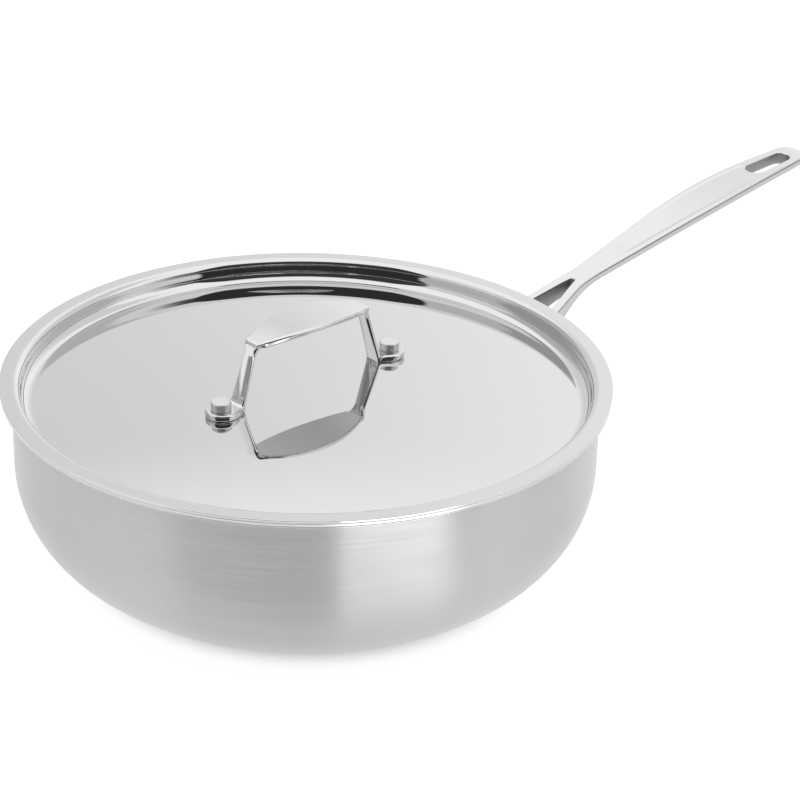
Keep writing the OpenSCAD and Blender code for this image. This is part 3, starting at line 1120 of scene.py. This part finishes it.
@dataclass
class PanHandle:
    """The long cast handle: a fork and a gently bent bar with a hanging slot, on a pad that follows the wall.

    Places along it are distances from the wall. Millimetres and degrees.
    """

    pan: PanBody
    length: float = 219.0
    side_top: tuple[Corner, ...] = (Corner(0, 79.6), Corner(38, 93.581, 65), Corner(147.5, 119.465, 600),
                                    Corner(219, 125.218))
    side_low: tuple[Corner, ...] = (Corner(0, 62.2), Corner(38, 88.781, 100), Corner(147.5, 114.665, 600),
                                    Corner(219, 120.418))
    plan: tuple[Corner, ...] = (Corner(0, 15.9), Corner(44.5, 6.3, 70), Corner(148, 14.5, 510),
                                Corner(219, 8.9, 6.5))
    opening_x: float = 46.3
    opening_slant: float = 14.7
    opening_r: float = 1.6
    slot_in: tuple[float, float] = (184.6, 6.2)
    slot_out: tuple[float, float] = (203.9, 5.5)
    root: float = 0.3
    root_z: float = 70.9
    top_edge: float = 0.7
    low_edge: float = 1.0
    grid_long: float = 2.0
    grid_cross: float = 0.6
    grid_reach: float = 18.0
    pad_t: float = 3.0
    pad_h: float = 22.5
    pad_edges: tuple[float, float] = (0.6, 0.2)
    pad_grid: float = 2.5
    rib_h: float = 2.4
    rib_edge: tuple[float, float] = (0.6, 4.2)
    rivet_angle: float = 10.0
    tip_lift: float = 1.4
    tip_lift_from: float = 205.0
    tip_lift_past: float = 6.0
    tip_drop: float = 0.15
    tip_drop_from: float = 212.0
    dish_depth: float = 0.2
    dish_run: float = 1.4
    dish_rim: float = 2.6
    dish_from: float = 70.0
    dish_deepens: float = 14.0
    dish_to: float = 178.0
    dish_fades: float = 5.0
    groove_root: float = 0.2
    groove_tip: float = 0.6
    groove_from: float = 30.0
    groove_to: float = 190.0
    groove_skin: float = 0.08
    shelter: float = 0.8

    def sheltered(self, u: float, v: float) -> bool:
        """Whether a place lies in or just beside the fork's opening or the hanging slot.

        Args:
            u: Distance from the wall.
            v: Distance from the middle.

        Returns:
            True where it does.
        """
        (in_x, in_r), (out_x, out_r) = self.slot_in, self.slot_out
        fork = (self.opening_x - u) * math.tan(math.radians(self.opening_slant))
        along_slot = in_x - in_r - self.shelter < u < out_x + out_r + self.shelter
        return (along_slot and abs(v) < in_r + self.shelter) or abs(v) < fork + self.shelter

    def groove(self, u: float, v: float) -> float:
        """Depth of the fine groove under the outer upper edge, which deepens towards the tip.

        Args:
            u: Distance from the wall.
            v: Distance from the middle.

        Returns:
            The depth.
        """
        deeper = (self.groove_tip - self.groove_root) * ramp(u, self.groove_from, self.groove_to)
        return 0.0 if self.sheltered(u, v) else self.groove_root + deeper

    def outer_loop(self) -> list[Point2]:
        """Outline of the bar and the fork, with the fork's opening as a notch between its prongs.

        Returns:
            Points as [distance from the wall, distance from the middle], anticlockwise.
        """
        root_y = BentLine(self.plan).height(self.root)
        notch_y = (self.opening_x - self.root) * math.tan(math.radians(self.opening_slant))
        lower = [Corner(c.x, -c.y, c.radius) for c in self.plan[1:]]
        notch = [Corner(self.root, notch_y), Corner(self.opening_x, 0, self.opening_r),
                 Corner(self.root, -notch_y)]
        bar = [Corner(self.root, -root_y)] + lower + list(self.plan[:0:-1]) + [Corner(self.root, root_y)]
        return outline(bar + notch, chord=0.8, longest=2.0)

    def slot_loop(self) -> list[Point2]:
        """Outline of the hanging slot.

        Returns:
            Points like the outer loop's, clockwise.
        """
        (in_x, in_r), (out_x, out_r) = self.slot_in, self.slot_out
        ends = [arc((in_x, 0.0), in_r, 270, 90, chord=0.5), arc((out_x, 0.0), out_r, 90, -90, chord=0.5)]
        return joined(ends, closed=True, longest=1.5)

    def topside(self, u: float, v: float) -> float:
        """Height of the top, with a very shallow dish inside its rims, and a small fall at the tip.

        Args:
            u: Distance from the wall.
            v: Distance from the middle.

        Returns:
            The height.
        """
        inwards = BentLine(self.plan).height(min(u, self.slot_out[0])) - self.dish_rim - abs(v)
        dish = ramp(inwards, 0.0, self.dish_run) * ramp(u, self.dish_from, self.dish_from + self.dish_deepens)
        dish *= 1 - ramp(u, self.dish_to, self.dish_to + self.dish_fades)
        fall = self.tip_drop * ramp(u, self.tip_drop_from, self.length)
        return BentLine(self.side_top).height(u) - self.dish_depth * dish - fall

    def underside(self, u: float, v: float) -> float:
        """Height of the underside, which is deeper in its middle and lifts a little towards the tip.

        Args:
            u: Distance from the wall.
            v: Distance from the middle.

        Returns:
            The height.
        """
        inwards = min(BentLine(self.plan).height(u) - abs(v), self.length - u)
        lift = self.tip_lift * ramp(u, self.tip_lift_from, self.length + self.tip_lift_past)
        return BentLine(self.side_low).height(u) - self.rib_h * ramp(inwards, *self.rib_edge) + lift

    def bar(self) -> Shell:
        """Builds the bar and the fork.

        Returns:
            Its shell.
        """
        columns = evenly(0, self.length, self.grid_long)
        rows = evenly(-self.grid_reach, self.grid_reach, self.grid_cross)
        return Plate([self.outer_loop(), self.slot_loop()], self.topside, self.underside,
                     lambda u, v, w: (self.pan.wall_r + u, v, w), self.top_edge, self.low_edge,
                     columns, rows, groove=self.groove).build()

    def pad(self) -> Shell:
        """Builds the pad.

        Returns:
            Its shell.
        """
        half = self.pad_h / 2
        ear = (self.pan.wall_r + self.pad_t / 2) * math.sin(math.radians(self.rivet_angle))
        ends = [arc((ear, 0.0), half, -90, 90, chord=1.0), arc((-ear, 0.0), half, 90, 270, chord=1.0)]
        loop = joined(ends, closed=True, longest=self.pad_grid)
        return Plate([loop], lambda u, v: self.pan.wall_r + self.pad_t, lambda u, v: self.pan.wall_r,
                     lambda u, v, w: (math.sqrt(w ** 2 - u ** 2), u, v + self.root_z), *self.pad_edges,
                     evenly(-ear - half, ear + half, self.pad_grid),
                     evenly(-half, half, self.pad_grid)).build()

    def build(self) -> None:
        """Builds and dresses the handle."""
        piece = solid("pan_long_handle", [self.bar(), self.pad()], POLISHED_CASTING.make())
        metal = inset(self.outer_loop(), self.groove_skin)

        def on_flank(middle: Vector, normal: Vector) -> bool:
            """Whether a face is steep and lies below most of the upper edge's rounding.

            Args:
                middle: The face's middle.
                normal: Its normal.

            Returns:
                True where it does.
            """
            u = middle.x - self.pan.wall_r
            return abs(normal.z) < 0.6 and middle.z < self.topside(u, middle.y) - self.top_edge * 0.7

        def in_shaded_recess(middle: Vector, normal: Vector) -> bool:
            """Whether a face lies in the groove, the fork's opening or the slot, clear of their edges, where
            shade is painted.

            Args:
                middle: The face's middle.
                normal: Its normal, which doesn't matter here.

            Returns:
                True where it does.
            """
            u = middle.x - self.pan.wall_r
            floor_z = self.underside(u, middle.y) + self.low_edge * 0.9
            between_edges = floor_z < middle.z < self.topside(u, middle.y) - self.top_edge
            if u < self.pad_t or not between_edges:
                return False
            return self.sheltered(u, middle.y) or inside((u, middle.y), metal)

        refinish(piece, GROUND_FLANK.make(), on_flank)
        # The groove, the fork's opening and the slot get a rough finish and a darker grey: painted shade in
        # these recesses
        refinish(piece, BLASTED_SHADED_CASTING.make(), in_shaded_recess)
        settle(piece, Body.PAN, "cast_handle", "pan_handle")


@dataclass
class LidHandle:
    """The lid's strap handle: a leaf-shaped grip on two leaning struts that flare into round feet.

    Millimetres and degrees. Each pair of steps is the points on a bend and on the straight after it.
    """

    lid: Lid
    foot_x: float = 53.3
    foot_r: float = 8.5
    foot_t: float = 3.3
    foot_bend_r: float = 2.5
    strut_x: float = 44.3
    heel_x: float = 42.2
    heel_r: float = 0.6
    strut_w: float = 3.5
    neck_w: float = 4.7
    neck_r: float = 7.0
    neck_angle: float = 125.0
    grip_x: float = 35.3
    inner_x: float = 33.1
    grip_h: float = 32.9
    grip_t: float = 2.6
    grip_rise: float = 6.6
    grip_crown_r: float = 160.0
    grip_peak_w: float = 19.0
    grip_side_r: float = 76.0
    grip_bend_r: float = 2.5
    grip_inner_r: float = 1.5
    edge_r: float = 1.15
    outer_crown: float = 0.5
    inner_crown: float = 0.45
    crown_start: tuple[float, float] = (-2.0, 3.0)
    crown_end: tuple[float, float] = (-3.0, 1.0)
    chord: float = 0.5
    steps: tuple[tuple[int, int], ...] = ((24, 4), (12, 16), (10, 10))
    grid_cross: float = 0.8
    grid_reach: float = 12.6
    edge_steps: int = 9
    hold: float = 0.35

    @property
    def foot_z(self) -> float:
        """Height of the plate at the rivets."""
        return self.lid.dome_at(self.foot_x)

    @property
    def foot_top(self) -> float:
        """Height of the feet's top faces."""
        return self.foot_z + self.foot_t

    def sides(self) -> tuple[list[Point2], list[Point2]]:
        """Half outline of the strap seen from its side, from the middle of the grip to a foot's outer end.

        Returns:
            Matching points of the outer face and of the inner face, as [distance from the axis, height].
        """
        end = self.foot_x + self.foot_r
        corner_z = self.foot_z + self.grip_h
        inner_z = corner_z - self.grip_t
        outer = (Corner(-self.grip_x, corner_z), Corner(0, corner_z + self.grip_rise, self.grip_crown_r),
                 Corner(self.grip_x, corner_z, self.grip_bend_r),
                 Corner(self.strut_x, self.foot_top, self.foot_bend_r), Corner(end, self.foot_top))
        inner = (Corner(-self.inner_x, inner_z), Corner(0, inner_z + self.grip_rise, self.grip_crown_r),
                 Corner(self.inner_x, inner_z, self.grip_inner_r),
                 Corner(self.heel_x, self.lid.dome_at(self.heel_x), self.heel_r),
                 Corner(end, self.lid.dome_at(end)))
        middle = self.steps[0][0] // 2
        return stepped_line(outer, self.steps)[middle:], stepped_line(inner, self.steps)[middle:]

    def build(self) -> None:
        """Builds and dresses the strap, laid out flat and then bent to its side outline."""
        outer, inner = self.sides()
        places = [0.0]
        for i in range(1, len(outer)):
            both = math.dist(outer[i - 1], outer[i]) + math.dist(inner[i - 1], inner[i])
            places.append(places[-1] + both / 2)

        def across(u: float) -> tuple[Vector, Vector]:
            """Finds the strap's two faces.

            Args:
                u: Distance along the strap.

            Returns:
                The inner face's point there, and the step to the outer face's.
            """
            reach = min(abs(u), places[-1])
            i = min(max(bisect_right(places, reach), 1), len(places) - 1)
            share = (reach - places[i - 1]) / (places[i] - places[i - 1])
            low = Vector(inner[i - 1]).lerp(Vector(inner[i]), share)
            return low, Vector(outer[i - 1]).lerp(Vector(outer[i]), share) - low

        def bent(u: float, v: float, w: float) -> Point3:
            """Bends a place on the flat strap to the side outline.

            Args:
                u: Distance along the strap.
                v: Distance from its middle.
                w: Height over its inner face.

            Returns:
                The place.
            """
            low, step = across(u)
            point = low + step.normalized() * w
            return (math.copysign(point.x, u), v, point.y)

        def place_of(x: float, line: list[Point2]) -> float:
            """Finds where a face reaches a distance from the axis.

            Args:
                x: The distance from the axis.
                line: The face's half outline.

            Returns:
                The distance along the strap.
            """
            i = next(k for k, p in enumerate(line) if p[0] >= x)
            share = (x - line[i - 1][0]) / (line[i][0] - line[i - 1][0])
            return places[i - 1] + share * (places[i] - places[i - 1])

        foot = place_of(self.foot_x, outer)
        grip = place_of((self.grip_x + self.inner_x) / 2, inner)
        neck = place_of(self.strut_x, outer)
        foot_end = (self.foot_r * math.cos(math.radians(self.neck_angle)),
                    self.foot_r * math.sin(math.radians(self.neck_angle)))
        corners = [Corner(foot + foot_end[0], foot_end[1]), Corner(neck, self.neck_w, self.neck_r),
                   Corner(grip, self.strut_w, self.neck_r), Corner(0, self.grip_peak_w, self.grip_side_r)]
        upper = corners + [Corner(-c.x, c.y, c.radius) for c in corners[-2::-1]]
        lower = [Corner(-c.x, -c.y, c.radius) for c in upper]
        runs = [arc((foot, 0.0), self.foot_r, -self.neck_angle, self.neck_angle, self.chord)]
        runs += bends(upper, self.chord)
        runs.append(arc((-foot, 0.0), self.foot_r, 180 - self.neck_angle, 180 + self.neck_angle, self.chord))
        runs += bends(lower, self.chord)
        columns = [-s for s in places[:0:-1]] + places
        rows = evenly(-self.grid_reach, self.grid_reach, self.grid_cross)

        def crown(u: float, v: float) -> float:
            """Share of the crown by which the struts' faces lie back from the strap's.

            Args:
                u: Distance along the strap.
                v: Distance from its middle.

            Returns:
                A share from 0 in the middle to 1 at the struts' sides.
            """
            above = ramp(abs(u), grip + self.crown_start[0], grip + self.crown_start[1])
            below = ramp(abs(u), neck + self.crown_end[0], neck + self.crown_end[1])
            return above * (1 - below) * min(1.0, (v / self.strut_w) ** 2)

        def outer_face(u: float, v: float) -> float:
            """Height of the strap's outer face over its inner one."""
            return across(u)[1].length - self.outer_crown * crown(u, v)

        def inner_face(u: float, v: float) -> float:
            """Height of the strap's inner face."""
            return self.inner_crown * crown(u, v)

        def on_grip_edge(middle: Vector, normal: Vector) -> bool:
            """Whether a face lies on the long edges of the grip or the struts."""
            return abs(middle.x) < self.grip_x and abs(normal.y) > 0.3

        strap = Plate([joined(runs, closed=True, longest=0.6)], outer_face, inner_face, bent, self.edge_r,
                      self.edge_r, columns, rows, edge_steps=self.edge_steps, hold=self.hold).build()
        piece = solid("lid_strap_handle", [strap], POLISHED_CASTING.make())
        refinish(piece, EASED_EDGE.make(), on_grip_edge)
        settle(piece, Body.LID, "cast_handle", "lid_handle")


@dataclass
class Rivets:
    """The two rivets of each handle: low round ones through the wall, and tall flat ones on the lid's feet.

    Millimetres. Closed ends and heads start out straight, and are sunk a little into what they hold.
    """

    pan: PanHandle
    strap: LidHandle
    shank_r: float = 2.0
    head_r: float = 5.5
    head_h: float = 2.2
    tail_r: float = 4.25
    tail_h: float = 1.8
    straight: float = 0.6
    pin_r: float = 2.5
    pin_head_r: float = 4.9
    pin_head_h: float = 4.3
    pin_tail_r: float = 4.5
    pin_tail_h: float = 1.2
    pin_edge_r: float = 1.0
    pin_low_r: float = 0.3
    sunk: float = 0.25
    sides: int = 64

    def wall_rivet(self) -> list[Point2]:
        """Half section of a rivet through the wall, whose heights are distances from the pan's axis.

        Returns:
            Points from the head's crown to the closed end's.
        """
        bore, pad = self.pan.pan.bore_r, self.pan.pan.wall_r + self.pan.pad_t
        head = cap(self.head_r, -(self.head_h - self.straight), bore - self.straight)
        tail = cap(self.tail_r, self.tail_h - self.straight, pad + self.straight)
        runs = [head[::-1], [(self.head_r, bore + self.sunk)], [(self.shank_r, bore + self.sunk)],
                [(self.shank_r, pad - self.sunk)], [(self.tail_r, pad - self.sunk)], tail]
        return joined(runs, closed=False, longest=3.0, close=0.1)

    def lid_rivet(self) -> list[Point2]:
        """Half section of a rivet through the lid.

        Returns:
            Points from the closed end's crown to the middle of the head.
        """
        under = self.strap.foot_z - self.strap.lid.sheet_t
        foot_top = self.strap.foot_top
        tail = cap(self.pin_tail_r, -(self.pin_tail_h - self.straight), under - self.straight)
        edge = arc((self.pin_head_r - self.pin_edge_r, foot_top + self.pin_head_h - self.pin_edge_r),
                   self.pin_edge_r, 0, 90, chord=0.2)
        low = arc((self.pin_head_r - self.pin_low_r, foot_top + self.pin_low_r), self.pin_low_r, -90, 0,
                  chord=0.1)
        runs = [tail[::-1], [(self.pin_tail_r, under + self.sunk)], [(self.pin_r, under + self.sunk)],
                [(self.pin_r, foot_top)], low, edge, [(0.0, foot_top + self.pin_head_h)]]
        return joined(runs, closed=False, longest=2.0, close=0.15)

    def build(self, lathe: Tree, row: Tree) -> None:
        """Builds and dresses both pairs.

        Args:
            lathe: The tree that turns a section.
            row: The tree that sets rivets about the axis.
        """
        finish = TUMBLED_RIVET.make()
        aside = math.radians(self.pan.rivet_angle)
        in_wall = {"Reach": 0.0, "Height": self.pan.root_z * MM, "Lean": math.pi / 2,
                   "Start": -aside, "Step": 2 * aside}
        in_lid = {"Reach": self.strap.foot_x * MM, "Height": 0.0, "Lean": 0.0, "Start": 0.0, "Step": math.pi}
        pairs = (("pan_rivets", self.wall_rivet(), Body.PAN, ("pan_rivet_left", "pan_rivet_right"), in_wall),
                 ("lid_rivets", self.lid_rivet(), Body.LID, ("lid_rivet_left", "lid_rivet_right"), in_lid))
        for name, section, body, nodes, sizes in pairs:
            one = turned(name + "_one", section, finish, lathe, self.sides)
            pair = run_tree(name, one.data, row, {"Count": 2, "Finish": finish, **sizes})
            bpy.data.objects.remove(one)
            settle(pair, body, "rivets", *nodes)


@dataclass(frozen=True)
class Panel:
    """A soft-edged patch of the studio's surroundings, seen from the pan.

    Turns are in degrees from the camera's side, positive to the camera's right. Low and high are degrees over
    the ground, or for a patch of the floor its near and far distance in metres. Tones are shares of paper
    white. Blur and fade soften its two sides, and rise its lower and upper ends.
    """

    start: float
    end: float
    low: float
    high: float
    tone: float
    blur: float = 3.0
    fade: float = 3.0
    rise: float = 3.0


@dataclass
class Studio:
    """A pale lit floor in a white cove with a dark opening behind the camera, and the camera.

    The camera's places are in millimetres, the floor's in metres, and front is the camera's side in degrees.
    """

    eye: Point3 = (-735.39, -861.79, 643.03)
    aim: Point3 = (32.93, -31.0, 82.09)
    roll: float = 1.593
    lens: float = 116.823
    sensor: float = 36.0
    far_clip: float = 100.0
    front: float = -130.4
    cove_tone: float = 1.24
    panels: tuple[Panel, ...] = (
        Panel(-185, -75, -20, 36, tone=0.89, blur=40, fade=60, rise=12),
        Panel(-142, -50, -20, 38, tone=0.6, blur=16, fade=6, rise=8),
        Panel(-92, -50, -6, 38, tone=0.88, blur=10, fade=6, rise=8),
        Panel(88, 140, -20, 58, tone=0.88, blur=14, fade=30, rise=14),
        Panel(-140, 140, -1.5, 3.5, tone=0.35, blur=20, fade=20, rise=3),
        Panel(44, 62, 4, 24, tone=0.12, blur=4, fade=24, rise=12),
        Panel(-50, 48, 2, 59, tone=0.05, rise=12),
    )
    floor_half: float = 4.0
    floor_drop: float = 0.0003
    floor_glow: float = 0.88
    floor_field: Panel = Panel(9.5, 43, 0.235, 1.6, tone=2.5, blur=1.5, fade=9, rise=0.03)
    # Between these two distances from the axis the floor's glow fades to nothing under the pan: a painted
    # contact shadow
    painted_shadow_full: float = 0.085
    painted_shadow_end: float = 0.118

    def build_floor(self) -> None:
        """Lays the pale floor: acrylic that glows as if lit from below, more so in one field, and whose glow
        fades out under the pan's foot as a painted contact shadow.
        """
        mesh = bpy.data.meshes.new("floor")
        corners = ((-1, -1), (1, -1), (1, 1), (-1, 1))
        mesh.from_pydata([(x * self.floor_half, y * self.floor_half, -self.floor_drop) for x, y in corners],
                         [], [(0, 1, 2, 3)])
        material, tree, shader = new_finish("white acrylic glowing, with a painted contact shadow")
        place = add_node(tree, "ShaderNodeTexCoord").outputs["Object"]
        reach = add_node(tree, "ShaderNodeVectorMath", {0: place}, operation="LENGTH").outputs["Value"]
        bright = self.floor_field
        mask = self.mask(tree, bright, place, reach, bright.low, bright.high, bright.rise)
        glow = add_node(tree, "ShaderNodeMix", {0: mask, 2: self.floor_glow, 3: bright.tone})
        # Painted contact shadow: the glow is scaled down to nothing towards the pan's foot
        clear = add_node(tree, "ShaderNodeMapRange",
                         {"Value": reach, "From Min": self.painted_shadow_full, "From Max": self.painted_shadow_end},
                         interpolation_type="SMOOTHSTEP")
        strength = worked_out(tree, "MULTIPLY", glow.outputs[0], clear.outputs[0])
        tree.links.new(strength, shader.inputs["Emission Strength"])
        shader.inputs["Emission Color"].default_value = (1.0, 1.0, 1.0, 1.0)
        shader.inputs["Base Color"].default_value = linear("#8c8c8c")
        shader.inputs["Roughness"].default_value = 0.9
        mesh.materials.append(material)
        floor = bpy.data.objects.new("floor", mesh)
        bpy.context.scene.collection.objects.link(floor)

    def build_light(self) -> None:
        """Lights the scene from a white cove all round, with its panels."""
        world = bpy.data.worlds.new("white cove")
        bpy.context.scene.world = world
        world.use_nodes = True
        tree = world.node_tree
        tree.nodes.clear()
        way = add_node(tree, "ShaderNodeTexCoord").outputs["Generated"]
        split = add_node(tree, "ShaderNodeSeparateXYZ", {0: way})
        height = worked_out(tree, "ARCSINE", split.outputs[2])
        tone: Socket | float = self.cove_tone
        for panel in self.panels:
            low, high, rise = (math.radians(a) for a in (panel.low, panel.high, panel.rise))
            mask = self.mask(tree, panel, way, height, low, high, rise)
            tone = add_node(tree, "ShaderNodeMix", {0: mask, 2: tone, 3: panel.tone}).outputs[0]
        around = add_node(tree, "ShaderNodeBackground", {"Color": tone, "Strength": 1.0})
        plain = add_node(tree, "ShaderNodeBackground", {"Color": (1.0, 1.0, 1.0, 1.0), "Strength": 1.0})
        seen = add_node(tree, "ShaderNodeLightPath").outputs["Is Camera Ray"]
        both = add_node(tree, "ShaderNodeMixShader", {0: seen, 1: around.outputs[0], 2: plain.outputs[0]})
        add_node(tree, "ShaderNodeOutputWorld", {"Surface": both.outputs[0]})

    def mask(self, tree: Tree, panel: Panel, way: Socket, level: Socket, low: float, high: float,
             rise: float) -> Socket:
        """Adds the nodes that give 1 inside a panel and 0 outside it.

        Args:
            tree: The tree of the surroundings or the floor.
            panel: The panel.
            way: Direction or place, whose first two parts give the turn about the pan.
            level: The value that low and high bound.
            low: Least value inside the panel.
            high: Greatest value inside the panel.
            rise: Width of the soft step at low and at high.

        Returns:
            The mask.
        """
        middle = math.radians(self.front + (panel.start + panel.end) / 2)
        half = math.radians((panel.end - panel.start) / 2)
        blur, fade = math.radians(panel.blur), math.radians(panel.fade)
        outwards = (math.cos(middle), math.sin(middle), 0.0)
        leftwards = (-math.sin(middle), math.cos(middle), 0.0)
        along, aside = (add_node(tree, "ShaderNodeVectorMath", {0: way, 1: axis}, operation="DOT_PRODUCT")
                        for axis in (outwards, leftwards))
        turn = worked_out(tree, "ARCTAN2", aside.outputs["Value"], along.outputs["Value"])
        edges = ((turn, -half - blur / 2, -half + blur / 2), (turn, half + fade / 2, half - fade / 2),
                 (level, low - rise / 2, low + rise / 2), (level, high + rise / 2, high - rise / 2))
        share: Socket | float = 1.0
        for value, off, on in edges:
            step = add_node(tree, "ShaderNodeMapRange", {"Value": value, "From Min": off, "From Max": on},
                            interpolation_type="SMOOTHSTEP")
            share = worked_out(tree, "MULTIPLY", share, step.outputs[0])
        return share

    def build_camera(self) -> None:
        """Sets the camera at the photograph's place."""
        eye, aim = Vector(self.eye) * MM, Vector(self.aim) * MM
        camera = bpy.data.cameras.new("camera")
        camera.lens = self.lens
        camera.sensor_width = self.sensor
        camera.clip_end = self.far_clip
        holder = bpy.data.objects.new("camera", camera)
        turn = (aim - eye).to_track_quat("-Z", "Y").to_matrix().to_4x4()
        roll = Matrix.Rotation(math.radians(self.roll), 4, "Z")
        holder.matrix_world = Matrix.Translation(eye) @ turn @ roll
        bpy.context.scene.collection.objects.link(holder)
        bpy.context.scene.camera = holder

    def build(self) -> None:
        """Sets up the plain tone curve, the floor, the light and the camera."""
        bpy.context.scene.view_settings.view_transform = "Standard"
        self.build_floor()
        self.build_light()
        self.build_camera()


def main() -> None:
    """Builds the pan, its lid, both handles, the rivets and the studio, in that order."""
    logging.basicConfig(level=logging.INFO, format="%(name)s: %(message)s")
    lathe, row = lathe_tree(), rivet_tree()
    body = PanBody()
    body.build(lathe)
    lid = Lid()
    lid.build(lathe)
    long_handle = PanHandle(body)
    long_handle.build()
    strap = LidHandle(lid)
    strap.build()
    Rivets(long_handle, strap).build(lathe, row)
    Studio().build()


if __name__ == "__main__":
    main()
